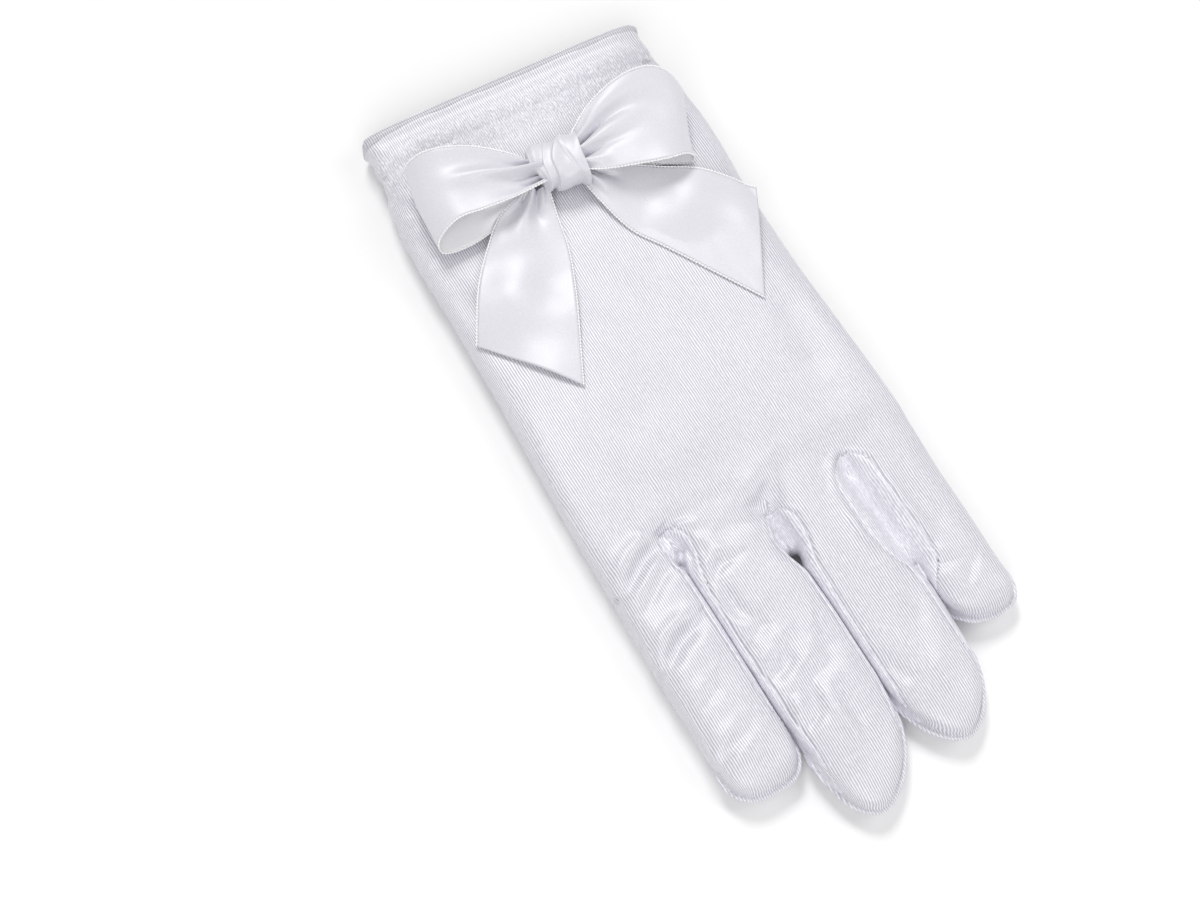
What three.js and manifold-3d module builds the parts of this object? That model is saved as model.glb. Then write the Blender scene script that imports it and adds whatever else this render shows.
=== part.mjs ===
// A dress glove in white stretch satin for a left hand, with a satin ribbon bow on the back of the wrist.
// It lies palm down, as it rests on a table, with its thumb folded flat under the palm. The hand and the
// four fingers are one hollow tube of cloth, open at the cuff. Narrow strips, the fourchettes, are let in
// between the fingers.
// Millimetres, +Z up. X runs across the hand with the index finger at -X, and the fingers point along -Y.

import * as THREE from 'three';
import { mergeVertices } from 'three/addons/utils/BufferGeometryUtils.js';
import Module from 'manifold-3d';

const CLOTH = 1.0; // wall of the glove
const SEAM_GAP = 0.3; // between pieces that are sewn together
const FINEST = 0.02; // slivers thinner than this, left where two surfaces cross, are cleared away
const RIBBON = 1.0; // thickness of the bow's ribbon

// The hand from the cuff to the roots of the fingers, a row for each section.
const HAND = [
  { y: 107.5, left: -36.4, right: 41.4, high: 12 },
  { y: 94, left: -37.2, right: 41.6, high: 12 },
  { y: 84, left: -39.4, right: 43.0, high: 12 },
  { y: 72, left: -40.6, right: 43.9, high: 12 },
  { y: 50, left: -41.0, right: 42.6, high: 12 },
  { y: 25, left: -41.8, right: 42.1, high: 12 },
  { y: 0, left: -42.4, right: 42.3, high: 12 },
  { y: -20, left: -43.2, right: 42.5, high: 12 },
];
const HAND_POWER = 3; // roundness of the hand's edges, 2 for an ellipse
const FLAT = 0.3; // the cloth is flattened by this much where it rests
const HAND_STEPS = 14; // spans across the hand, above and below
const HAND_RINGS = 11;
const HEM_RINGS = 3;
const WEB_LENGTH = 11; // the hand's closed end between the fingers, past the last row
const WEB_LESS_AT_LITTLE = 4; // the web before the little finger lies this much nearer the cuff

// The fingers: their sides where they leave the hand and where the tip starts to round, and their tips.
const FINGERS = [
  { name: 'index', rootLeft: -43.5, rootRight: -26.3, left: -43.9, right: -25.2, tipX: -34.0, tipY: -92.2,
    tipLength: 13, tipPower: 2.6, high: 11.6 },
  { name: 'middle', rootLeft: -23.0, rootRight: -1.3, left: -24.3, right: 0.3, tipX: -14.4, tipY: -107.5,
    tipLength: 27, tipPower: 2.2, high: 11.8 },
  { name: 'ring', rootLeft: 2.3, rootRight: 22.2, left: 1.2, right: 23.3, tipX: 11.0, tipY: -102.2,
    tipLength: 21, tipPower: 2.1, high: 11.7 },
  { name: 'little', rootLeft: 25.2, rootRight: 42.5, left: 25.6, right: 41.8, tipX: 34.2, tipY: -80.0,
    tipLength: 12, tipPower: 2.4, high: 11.2 },
];
const FINGER_POWER = 2.5;
const FINGER_STEPS = 8;
const ROOT_Y = -30; // where the fingers leave the web
const ROOT_LENGTH = 14; // the sides come together over this length
const INSIDE_HAND_Y = -14; // each finger's tube starts here, inside the hand
const START_NARROWER = 1.5;
const TIP_SHARES = [0, 0.35, 0.65, 0.86, 0.97, 1];
const FINGER_STATIONS = [INSIDE_HAND_Y, -24, -30, -37, -44, -58, -72];
const TIP_LEAST = 0.12; // the last ring's share of the finger's width

// The fourchettes, strips of the fingers' facing sides.
const STRIP_HALF_AT_WEB = 2.7;
const STRIP_HALF_AT_TIP = 1.1;
const STRIP_START_Y = -24.6; // inside the hollow, before the web
const STRIP_END_FROM_TIP = 9;
const STRIP_MIDDLE_Z = 5.4;

// The thumb, folded flat under the palm. It is placed by its heel, and turned towards the middle of the
// palm.
const THUMB = {
  x: -24.5, y: 48, turn: 17, length: 57, halfWidth: 9.6, high: 3.0, tipLength: 16, heelLength: 9,
};
const THUMB_HOLE = { y: -15, halfWidth: 6, halfLength: 9.5 };
const THUMB_RISE = THUMB.high + SEAM_GAP; // the palm lies over the thumb
const THUMB_MARGIN = 1.5; // the palm is level this far round the thumb
const THUMB_FALL = 10; // and falls to the table over this distance
const BACK_SHARE = 0.3; // the back of the hand rises by this share of it

const HEM = { width: 13, thickness: 1.0 };

// The bow. Each row is one place along a ribbon: the x and y of its two edges with their heights above the
// back of the glove, and the depth of its pleats, which are deep where the knot gathers it.
const KNOT = { x: 2.7, y: 72.3, over: 0.4, halfLength: 7.2, halfWidth: 7.4, halfHeight: 4.6 };
const KNOT_RINGS = [
  { share: -1, size: 0.78 }, { share: -0.8, size: 0.95 }, { share: -0.4, size: 1 }, { share: 0, size: 0.93 },
  { share: 0.4, size: 1 }, { share: 0.8, size: 0.95 }, { share: 1, size: 0.78 },
];
const LOOP_INDEX = [
  { a: [-5.2, 76.2, 6.8], b: [-5.2, 67.8, 6.8], pleat: 1.9 },
  { a: [-11.7, 82.0, 9.6], b: [-12.7, 65.8, 9.2], pleat: 1.5 },
  { a: [-22.0, 86.7, 10.6], b: [-22.4, 64.2, 10.2], pleat: 0.7 },
  { a: [-29.7, 88.2, 9.4], b: [-30.1, 63.8, 9.2], pleat: 0.2 },
  { a: [-32.6, 89.2, 5.4], b: [-34.4, 64.4, 5.4], pleat: 0 },
  { a: [-27.8, 89.8, 1.4], b: [-29.8, 65.6, 1.4], pleat: 0 },
  { a: [-18.7, 87.4, 1.0], b: [-19.7, 68.8, 1.0], pleat: 0 },
  { a: [-10.8, 82.9, 1.2], b: [-10.8, 69.9, 1.2], pleat: 0.2 },
  { a: [-5.2, 77.0, 2.0], b: [-5.2, 70.2, 2.0], pleat: 0.5 },
];
const LOOP_LITTLE = [
  { a: [10.6, 67.8, 6.8], b: [10.6, 76.2, 6.8], pleat: 1.9 },
  { a: [16.4, 62.7, 9.0], b: [16.3, 79.2, 9.4], pleat: 1.4 },
  { a: [24.3, 59.2, 9.4], b: [26.1, 82.2, 10.2], pleat: 0.7 },
  { a: [31.5, 58.4, 8.4], b: [35.3, 81.6, 9.2], pleat: 0.2 },
  { a: [35.1, 59.1, 5.0], b: [40.2, 81.7, 5.6], pleat: 0 },
  { a: [32.2, 62.2, 1.4], b: [37.2, 83.8, 1.4], pleat: 0 },
  { a: [25.3, 66.4, 1.0], b: [28.3, 84.0, 1.0], pleat: 0 },
  { a: [18.2, 68.9, 1.2], b: [19.2, 81.5, 1.2], pleat: 0.2 },
  { a: [10.6, 70.2, 2.0], b: [10.6, 77.0, 2.0], pleat: 0.5 },
];
const TAIL_INDEX = [
  { a: [-5.7, 66.4, 2.4], b: [2.5, 64.8, 2.4], pleat: 1.2 },
  { a: [-15.2, 60.6, 3.0], b: [0.0, 55.8, 2.8], pleat: 0.9 },
  { a: [-24.0, 51.9, 2.2], b: [-4.1, 44.6, 1.8], pleat: 0.4 },
  { a: [-31.4, 43.8, 1.4], b: [-9.9, 32.8, 1.0], pleat: 0.1 },
  { a: [-37.1, 36.6, 1.0], b: [-20.9, 12.8, 0.9], pleat: 0 },
];
const TAIL_LITTLE = [
  { a: [4.6, 64.9, 2.2], b: [11.3, 66.4, 2.4], pleat: 1.0 },
  { a: [9.6, 53.2, 2.0], b: [22.4, 58.2, 3.0], pleat: 0.9 },
  { a: [14.5, 39.1, 1.6], b: [31.8, 51.6, 3.0], pleat: 0.5 },
  { a: [20.8, 26.5, 1.2], b: [38.5, 44.9, 2.6], pleat: 0.1 },
  { a: [29.9, 12.4, 0.9], b: [42.7, 39.2, 1.8], pleat: 0 },
];
const RIBBON_SPANS = 6; // across a ribbon
const RIBBON_STEPS = 3; // between two rows
const PLEATS = 2;

const SATIN = { color: 0xeeeef2, roughness: 0.42, metalness: 0 };
const BOW_SATIN = { color: 0xf4f4f7, roughness: 0.3, metalness: 0 };

const wasm = await Module();
wasm.setup();

function smooth(t) {
  const s = THREE.MathUtils.clamp(t, 0, 1);
  return s * s * (3 - 2 * s);
}

// A closed surface through rings of points, with a fan of triangles at each end.
function loft(rings) {
  const sides = rings[0].length;
  const points = rings.flat();
  const faces = [];
  for (let i = 0; i < rings.length - 1; i++) {
    for (let j = 0; j < sides; j++) {
      const k = (j + 1) % sides;
      const [a, b, c, d] = [i * sides + j, i * sides + k, (i + 1) * sides + k, (i + 1) * sides + j];
      faces.push(a, b, c, a, c, d);
    }
  }
  const ends = [[rings[0], 0, true], [rings.at(-1), (rings.length - 1) * sides, false]];
  for (const [ring, start, turned] of ends) {
    const middle = ring.reduce((sum, p) => sum.add(p), new THREE.Vector3()).divideScalar(sides);
    points.push(middle);
    for (let j = 0; j < sides; j++) {
      const [a, b] = [start + j, start + ((j + 1) % sides)];
      faces.push(points.length - 1, turned ? b : a, turned ? a : b);
    }
  }
  return new THREE.BufferGeometry().setFromPoints(points).setIndex(faces);
}

function solidOf(geometry) {
  const bare = new THREE.BufferGeometry();
  bare.setAttribute('position', geometry.getAttribute('position'));
  bare.setIndex(geometry.getIndex());
  const merged = flipToOutside(mergeVertices(bare, 1e-4));
  const vertProperties = merged.getAttribute('position').array;
  const triVerts = new Uint32Array(merged.index.array);
  return new wasm.Manifold(new wasm.Mesh({ numProp: 3, vertProperties, triVerts }));
}

function geometryOf(solid) {
  const made = solid.simplify(FINEST).getMesh();
  const positions = new Float32Array(made.numVert * 3);
  for (let i = 0; i < made.numVert; i++) {
    positions.set(made.vertProperties.subarray(i * made.numProp, i * made.numProp + 3), i * 3);
  }
  const geometry = new THREE.BufferGeometry();
  geometry.setAttribute('position', new THREE.BufferAttribute(positions, 3));
  return geometry.setIndex(new THREE.BufferAttribute(made.triVerts, 1));
}

// A height above the table after the cloth has settled on it. The wall keeps its thickness, the back its
// height.
function flattened(z, inset) {
  return inset + Math.max(0, z - inset - FLAT) * (1 + FLAT / 10);
}

// One flattened section across the glove: along the top from left to right, then back along the underside.
function flatRing({ y, left, right, low, high, power }, steps, inset) {
  const [halfWidth, halfHeight] = [(right - left) / 2, (high - low) / 2];
  const [x, z] = [(left + right) / 2, (high + low) / 2];
  const points = [];
  for (const side of [1, -1]) {
    for (let i = 0; i < steps; i++) {
      const across = -side * Math.cos((Math.PI * i) / steps);
      const up = Math.pow(Math.max(0, 1 - Math.pow(Math.abs(across), power)), 1 / power);
      const height = flattened(z + side * halfHeight * up, inset);
      points.push(new THREE.Vector3(x + halfWidth * across, y, height));
    }
  }
  return points;
}

// How far the palm is lifted over the thumb at a place.
const thumbTurn = THREE.MathUtils.degToRad(THUMB.turn);
const thumbHeel = new THREE.Vector2(THUMB.x, THUMB.y);
const thumbAlong = new THREE.Vector2(Math.sin(thumbTurn), -Math.cos(thumbTurn));

function thumbLift(x, y) {
  const from = new THREE.Vector2(x, y).sub(thumbHeel);
  const along = THREE.MathUtils.clamp(from.dot(thumbAlong), THUMB.halfWidth, THUMB.length - THUMB.halfWidth);
  const away = from.distanceTo(thumbAlong.clone().multiplyScalar(along)) - THUMB.halfWidth - THUMB_MARGIN;
  return THUMB_RISE * (1 - smooth(away / THUMB_FALL));
}

function liftOverThumb(rings, inset) {
  for (const p of rings.flat()) {
    const lift = thumbLift(p.x, p.y);
    const height = THREE.MathUtils.clamp(p.z / HAND.at(-1).high, 0, 1);
    p.z = Math.max(p.z, lift + inset) + lift * BACK_SHARE * height;
  }
  return rings;
}

function handAt(y) {
  const last = HAND.length - 1;
  let i = 0;
  while (i < last - 1 && HAND[i + 1].y > y) i++;
  const share = THREE.MathUtils.clamp((HAND[i].y - y) / (HAND[i].y - HAND[i + 1].y), 0, 1);
  const mix = (key) => THREE.MathUtils.lerp(HAND[i][key], HAND[i + 1][key], share);
  return { y, left: mix('left'), right: mix('right'), low: 0, high: mix('high'), power: HAND_POWER };
}

function handRing(y, inset) {
  const { left, right, high, power } = handAt(y);
  const sides = sidesOf((left + right) / 2, high / 2, (right - left) / 2 - inset, high / 2 - inset);
  return flatRing({ y, ...sides, power }, HAND_STEPS, inset);
}

// The height of the back of the hand.
function backTop(x, y) {
  const { left, right, high } = handAt(y);
  const across = Math.min(0.97, Math.abs(x - (left + right) / 2) / ((right - left) / 2));
  const up = Math.pow(1 - Math.pow(across, HAND_POWER), 1 / HAND_POWER);
  return flattened((high / 2) * (1 + up), 0) + thumbLift(x, y) * BACK_SHARE;
}

// The hand's tube, smaller by inset on every side. Open ends run past the cuff.
function handSolid(inset, cuffY, endY, count) {
  const webY = HAND.at(-1).y;
  const rings = [];
  for (let i = 0; i <= count; i++) {
    const y = THREE.MathUtils.lerp(cuffY, Math.max(webY, endY), i / count);
    rings.push(handRing(y, inset));
  }
  if (endY < webY) {
    const length = WEB_LENGTH - inset;
    for (const share of [0.45, 0.75, 0.93, 1]) {
      const shrink = Math.sqrt(Math.max(0, 1 - share * share)) * 0.5 + 0.5;
      const ring = handRing(webY, inset);
      const middle = HAND.at(-1).high / 2;
      for (const p of ring) {
        const lessAtLittle = WEB_LESS_AT_LITTLE * smooth((p.x - 8) / 16);
        p.z = middle + (p.z - middle) * shrink;
        p.y = webY - (length - lessAtLittle) * share;
      }
      rings.push(ring);
    }
  }
  return solidOf(loft(liftOverThumb(rings, inset)));
}

// The sides of a section whose wall is already taken off its half sizes.
function sidesOf(x, z, halfWidth, halfHeight) {
  return { left: x - halfWidth, right: x + halfWidth, low: z - halfHeight, high: z + halfHeight };
}

// One finger's section at a place along it; share runs from 0 to 1 through the rounded tip.
function fingerRing(f, y, share, inset) {
  const apart = smooth((y - ROOT_Y + ROOT_LENGTH) / ROOT_LENGTH);
  const [left, right] = [
    THREE.MathUtils.lerp(f.left, f.rootLeft, apart),
    THREE.MathUtils.lerp(f.right, f.rootRight, apart),
  ];
  const round = Math.max(TIP_LEAST, Math.pow(1 - Math.pow(share, f.tipPower), 1 / f.tipPower));
  const flat = Math.max(TIP_LEAST * 2, Math.pow(1 - Math.pow(share, 3), 1 / 3));
  const x = THREE.MathUtils.lerp((left + right) / 2, f.tipX, share * share);
  const [halfWidth, halfHeight] = [((right - left) / 2 - inset) * round, (f.high / 2 - inset) * flat];
  const sides = sidesOf(x, f.high / 2, halfWidth, halfHeight);
  return flatRing({ y, ...sides, power: FINGER_POWER }, FINGER_STEPS, inset);
}

function fingerSolid(f, inset) {
  const tipY = f.tipY + inset;
  const tipLength = f.tipLength - inset / 2;
  const rings = [];
  for (const y of FINGER_STATIONS) {
    const narrower = y === INSIDE_HAND_Y ? START_NARROWER : 0;
    if (y > tipY + tipLength + 4) rings.push(fingerRing(f, y, 0, inset + narrower));
  }
  for (const share of TIP_SHARES) rings.push(fingerRing(f, tipY + tipLength * (1 - share), share, inset));
  return solidOf(loft(liftOverThumb(rings, inset)));
}

function gloveSolid(inset, cuffY) {
  const hand = handSolid(inset, cuffY, HAND.at(-1).y - WEB_LENGTH, HAND_RINGS);
  return FINGERS.reduce((sum, f) => sum.add(fingerSolid(f, inset)), hand);
}

// A wedge between two heights, for one arm of a fourchette.
function stripCutter(fromX, toX, endY, gap) {
  const [half, halfAtTip] = [STRIP_HALF_AT_WEB + gap, STRIP_HALF_AT_TIP + gap];
  const outline = new THREE.Shape([
    new THREE.Vector2(STRIP_START_Y + gap, STRIP_MIDDLE_Z - half),
    new THREE.Vector2(STRIP_START_Y + gap, STRIP_MIDDLE_Z + half),
    new THREE.Vector2(endY - gap, STRIP_MIDDLE_Z + halfAtTip),
    new THREE.Vector2(endY - gap, STRIP_MIDDLE_Z - halfAtTip),
  ]);
  const prism = new THREE.ExtrudeGeometry(outline, { depth: toX - fromX, bevelEnabled: false });
  prism.applyMatrix4(new THREE.Matrix4().set(0, 0, 1, fromX, 1, 0, 0, 0, 0, 1, 0, 0, 0, 0, 0, 1));
  return solidOf(prism);
}

function fourchetteCutter(near, far, gap) {
  const between = (near.right + far.left) / 2;
  const [nearX, farX] = [(near.left + near.right) / 2, (far.left + far.right) / 2];
  const nearArm = stripCutter(nearX, between + 0.01, near.tipY + STRIP_END_FROM_TIP, gap);
  const farArm = stripCutter(between - 0.01, farX, far.tipY + STRIP_END_FROM_TIP, gap);
  return nearArm.add(farArm);
}

// The thumb along its own -Y, from its heel at the origin.
function thumbPouch(inset) {
  const rings = [];
  const ends = { heel: THUMB.heelLength - inset / 2, tip: THUMB.tipLength - inset / 2 };
  const [start, end] = [-inset, -THUMB.length + inset];
  const add = (y, round, flat) => {
    const [halfWidth, halfHeight] = [(THUMB.halfWidth - inset) * round, (THUMB.high / 2 - inset) * flat];
    const sides = sidesOf(0, THUMB.high / 2, halfWidth, halfHeight);
    rings.push(flatRing({ y, ...sides, power: FINGER_POWER }, FINGER_STEPS, inset));
  };
  const rounded = (share) => [
    Math.max(TIP_LEAST, Math.sqrt(1 - share * share)),
    Math.max(TIP_LEAST * 2, Math.pow(1 - Math.pow(share, 3), 1 / 3)),
  ];
  for (const share of [...TIP_SHARES].reverse()) add(start - ends.heel * (1 - share), ...rounded(share));
  add((start - ends.heel + end + ends.tip) / 2, 1, 1);
  for (const share of TIP_SHARES) add(end + ends.tip * (1 - share), ...rounded(share));
  return solidOf(loft(rings));
}

function thumbHole(low, high, grow) {
  const oval = new THREE.Shape();
  const [halfWidth, halfLength] = [THUMB_HOLE.halfWidth + grow, THUMB_HOLE.halfLength + grow];
  oval.absellipse(0, THUMB_HOLE.y, halfWidth, halfLength, 0, 2 * Math.PI);
  const depth = high - low;
  const prism = new THREE.ExtrudeGeometry(oval, { depth, bevelEnabled: false, curveSegments: 12 });
  return prism.translate(0, 0, low);
}

function placeAtThumb(geometry) {
  return geometry.rotateZ(thumbTurn).translate(THUMB.x, THUMB.y, 0);
}

// A curve through the rows of one edge of a ribbon.
function edgeCurve(rows, key) {
  return new THREE.CatmullRomCurve3(rows.map((row) => new THREE.Vector3(...row[key])), false, 'centripetal');
}

// A ribbon through its rows, with its pleats, lying over the back of the glove.
function ribbonSolid(rows) {
  const [edgeA, edgeB] = [edgeCurve(rows, 'a'), edgeCurve(rows, 'b')];
  const steps = (rows.length - 1) * RIBBON_STEPS;
  const grid = [];
  for (let i = 0; i <= steps; i++) {
    const t = i / steps;
    const row = Math.min(rows.length - 2, Math.floor(t * (rows.length - 1)));
    const depth = THREE.MathUtils.lerp(rows[row].pleat, rows[row + 1].pleat, t * (rows.length - 1) - row);
    const [a, b] = [edgeA.getPoint(t), edgeB.getPoint(t)];
    const along = edgeA.getTangent(t).add(edgeB.getTangent(t));
    const out = along.cross(new THREE.Vector3().subVectors(b, a)).normalize();
    const line = [];
    for (let j = 0; j <= RIBBON_SPANS; j++) {
      const across = j / RIBBON_SPANS;
      const lift = -0.5 * Math.cos(2 * Math.PI * PLEATS * across) * depth;
      const point = new THREE.Vector3().lerpVectors(a, b, across).addScaledVector(out, lift);
      point.z += backTop(point.x, point.y);
      line.push(point);
    }
    grid.push(line);
  }
  const side = (sign) => grid.map((line, i) => line.map((point, j) => {
    const before = grid[Math.max(0, i - 1)][j];
    const after = grid[Math.min(steps, i + 1)][j];
    const along = new THREE.Vector3().subVectors(after, before);
    const [left, right] = [line[Math.max(0, j - 1)], line[Math.min(RIBBON_SPANS, j + 1)]];
    const across = new THREE.Vector3().subVectors(right, left);
    return along.cross(across).setLength(sign * RIBBON / 2).add(point);
  }));
  const [front, rear] = [side(1), side(-1)];
  return flipToOutside(loftStrip(front.map((line, i) => [...line, ...rear[i].reverse()])));
}

// A loft whose ends are closed by quads between the ribbon's two faces.
function loftStrip(rings) {
  const sides = rings[0].length;
  const faces = [];
  for (let i = 0; i < rings.length - 1; i++) {
    for (let j = 0; j < sides; j++) {
      const k = (j + 1) % sides;
      const [a, b, c, d] = [i * sides + j, i * sides + k, (i + 1) * sides + k, (i + 1) * sides + j];
      faces.push(a, b, c, a, c, d);
    }
  }
  for (const [start, turned] of [[0, true], [(rings.length - 1) * sides, false]]) {
    for (let j = 0; j < sides / 2 - 1; j++) {
      const [a, b, c, d] = [start + j, start + j + 1, start + sides - 2 - j, start + sides - 1 - j];
      faces.push(...(turned ? [a, c, b, a, d, c] : [a, b, c, a, c, d]));
    }
  }
  return new THREE.BufferGeometry().setFromPoints(rings.flat()).setIndex(faces);
}

// The same faces turned round if the surface is inside out.
function flipToOutside(geometry) {
  const [position, index] = [geometry.getAttribute('position'), geometry.getIndex().array];
  const corner = (i) => new THREE.Vector3().fromBufferAttribute(position, index[i]);
  let volume = 0;
  for (let i = 0; i < index.length; i += 3) volume += corner(i).dot(corner(i + 1).cross(corner(i + 2)));
  if (volume < 0) {
    for (let i = 0; i < index.length; i += 3) [index[i + 1], index[i + 2]] = [index[i + 2], index[i + 1]];
  }
  return geometry;
}

// The knot, a band of ribbon wound round the middle, with a waist at each end.
function knotSolid() {
  const rings = [];
  const middleZ = backTop(KNOT.x, KNOT.y) + KNOT.over + KNOT.halfHeight;
  for (const { share, size } of KNOT_RINGS) {
    const ring = [];
    for (let j = 0; j < 20; j++) {
      const angle = (2 * Math.PI * j) / 20;
      const [y, z] = [KNOT.halfWidth * size * Math.cos(angle), KNOT.halfHeight * size * Math.sin(angle)];
      ring.push(new THREE.Vector3(KNOT.x + KNOT.halfLength * share, KNOT.y + y, middleZ + z));
    }
    rings.push(ring);
  }
  return flipToOutside(loft(rings));
}

const glove = new THREE.Group();

function addPiece(name, geometry, finish) {
  const piece = new THREE.Mesh(geometry, new THREE.MeshStandardMaterial(finish));
  piece.name = name;
  glove.add(piece);
}

const cuffY = HAND[0].y;
const shell = gloveSolid(0, cuffY).subtract(gloveSolid(CLOTH, cuffY + 1));
const pairs = FINGERS.slice(1).map((far, i) => ({ near: FINGERS[i], far }));
const palmHole = solidOf(placeAtThumb(thumbHole(THUMB.high / 2, THUMB_RISE + 2 * CLOTH, 0)));
const trank = pairs.reduce(
  (sum, { near, far }) => sum.subtract(fourchetteCutter(near, far, SEAM_GAP)),
  shell.subtract(palmHole),
);
addPiece('trank', geometryOf(trank), SATIN);
for (const { near, far } of pairs) {
  const strip = shell.intersect(fourchetteCutter(near, far, 0));
  addPiece(`fourchette_${near.name}_${far.name}`, geometryOf(strip), SATIN);
}

const thumbMouth = solidOf(thumbHole(THUMB.high / 2, THUMB.high + 1, 0));
const thumb = thumbPouch(0).subtract(thumbPouch(CLOTH)).subtract(thumbMouth);
addPiece('thumb', placeAtThumb(geometryOf(thumb)), SATIN);

const hemInset = CLOTH + SEAM_GAP;
const hemOuter = handSolid(hemInset, cuffY, cuffY - HEM.width, HEM_RINGS);
const hemInner = handSolid(hemInset + HEM.thickness, cuffY + 1, cuffY - HEM.width - 1, HEM_RINGS);
addPiece('cuff_hem', geometryOf(hemOuter.subtract(hemInner)), SATIN);

addPiece('bow_loop_index', ribbonSolid(LOOP_INDEX), BOW_SATIN);
addPiece('bow_loop_little', ribbonSolid(LOOP_LITTLE), BOW_SATIN);
addPiece('bow_tail_index', ribbonSolid(TAIL_INDEX), BOW_SATIN);
addPiece('bow_tail_little', ribbonSolid(TAIL_LITTLE), BOW_SATIN);
addPiece('bow_knot', knotSolid(), BOW_SATIN);

export default glove;
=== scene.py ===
"""A left-hand dress glove in white stretch satin, lying palm down, with a ribbon bow at the wrist.

The cloth starts as lofted sections joined into one skin, which is then folded, dented and sewn in code.
Lengths in this file are millimetres unless a name says otherwise. The scene itself is in metres.
"""

from math import cos, pi, radians, sin, sqrt
from types import SimpleNamespace as Values

import bmesh
import bpy
import numpy as np
from mathutils import Matrix, Vector


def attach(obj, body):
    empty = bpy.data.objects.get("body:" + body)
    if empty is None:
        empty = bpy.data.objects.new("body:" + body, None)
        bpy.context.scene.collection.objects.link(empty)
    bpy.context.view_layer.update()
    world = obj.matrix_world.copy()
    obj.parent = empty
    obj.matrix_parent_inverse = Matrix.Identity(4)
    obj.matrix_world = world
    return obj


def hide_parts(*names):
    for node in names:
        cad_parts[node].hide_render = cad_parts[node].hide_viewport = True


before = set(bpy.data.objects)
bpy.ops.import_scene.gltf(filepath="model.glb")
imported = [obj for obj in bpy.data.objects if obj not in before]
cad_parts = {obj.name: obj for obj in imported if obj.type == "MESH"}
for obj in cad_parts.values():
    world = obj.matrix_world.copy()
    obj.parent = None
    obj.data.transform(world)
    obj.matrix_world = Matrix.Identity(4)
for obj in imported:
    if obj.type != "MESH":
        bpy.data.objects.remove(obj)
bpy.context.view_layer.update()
scene = bpy.context.scene

MM = 0.001
# The cuff's edge in the middle of the hand, and how much it slants.
CUFF_Y = 105.3
CUFF_SLANT = 0.049
HAND_HIGH = 12.0
WEB_Y = -20.0
# The skin's and the inner wall's face size, how often each is smoothed, and how far in the wall lies.
SKIN_VOXEL = 0.68
LINING_VOXEL = 0.9
SKIN_ROUNDS = 5
LINING_ROUNDS = 3
LINING_DEPTH = 0.95

# The hand's sides from the cuff to the roots of the fingers, as rows of y, left and right.
HAND_ROWS = [
    (113.5, -36.4, 41.6), (107.3, -36.5, 41.5), (100.0, -36.3, 41.5),
    (94.0, -37.2, 41.4), (87.0, -38.8, 42.3), (80.0, -39.8, 43.4),
    (71.0, -40.6, 43.8), (62.0, -40.8, 43.6), (52.0, -40.7, 42.8),
    (38.0, -41.1, 42.2), (20.0, -41.7, 42.1), (0.0, -42.4, 42.3),
    (-20.0, -43.1, 42.5),
]
# How square the hand's sections are, and how much squarer they get towards the cuff and towards the fingers.
HAND_POWER = 3.0
AT_CUFF = Values(squarer=2.5, from_y=88, over=14)
AT_FINGERS = Values(squarer=3.0, from_y=30, over=50)
HAND_SIDES = 120
HAND_RINGS = 70

# The rounded end of the hand between the fingers, which reaches further out beside the ring finger.
WEB = Values(rings=9, reach=4.6, middle=7.2, at_x=0.5, wide=10.0, little=3.2, end_high=0.45)

# Each finger's sides at a few places, as rows of y, left and right, its tip, and its height.
FINGERS = {
    "index": Values(
        rows=[
            (-14, -43.0, -26.2), (-30, -43.3, -24.6), (-45, -43.6, -24.2),
            (-60, -44.2, -24.2), (-78, -44.1, -24.6),
        ],
        tip=(-34.2, -91.2), tip_length=12.0, tip_power=3.0, high=11.6,
    ),
    "middle": Values(
        rows=[
            (-14, -23.0, -1.2), (-30, -24.8, -0.8), (-41, -25.3, -0.6), (-50, -25.3, 0.7),
            (-62, -25.3, 1.0), (-80, -24.4, 0.8), (-88, -23.6, 0.0),
        ],
        tip=(-14.6, -107.5), tip_length=22.0, tip_power=1.8, high=11.8,
    ),
    "ring": Values(
        rows=[
            (-14, 2.4, 22.0), (-30, 1.6, 22.6), (-41, 0.8, 22.8),
            (-50, -0.2, 23.2), (-62, 0.0, 24.3), (-80, 0.3, 23.6),
        ],
        tip=(11.7, -102.2), tip_length=20.0, tip_power=1.7, high=11.7,
    ),
    "little": Values(
        rows=[
            (-14, 24.6, 42.6), (-30, 23.0, 42.5), (-45, 23.3, 41.8),
            (-58, 23.4, 41.8), (-68, 23.6, 41.3),
        ],
        tip=(34.6, -80.0), tip_length=11.0, tip_power=2.6, high=11.2,
    ),
}
FINGER_POWER = 2.9
FINGER_START_Y = -14.0
FINGER_SIDES = 64
FINGER_RINGS = 40
TIP_RINGS = 18
# How high a fingertip's end still is, and the height of its middle there, as shares of the finger's height.
TIP_END_HIGH = 0.30
TIP_MIDDLE = 0.44

# Where two fingers part: the line between them, where they part, and over what length they then close up.
PARTINGS = {
    ("index", "middle"): Values(y=-31.5, opens=-24.0, closing=6.0),
    ("middle", "ring"): Values(y=-42.0, opens=-34.5, closing=9.0),
    ("ring", "little"): Values(y=-60.0, opens=-50.0, closing=8.0),
}
PARTED_AT = [-24.8, 0.3, 23.9]
# The joining closes narrower gaps, so the fingers are this much narrower until they are one skin.
GAP_WHILE_JOINING = 1.25
GAP_FADE = 6.0
HAIR = 0.1

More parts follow.
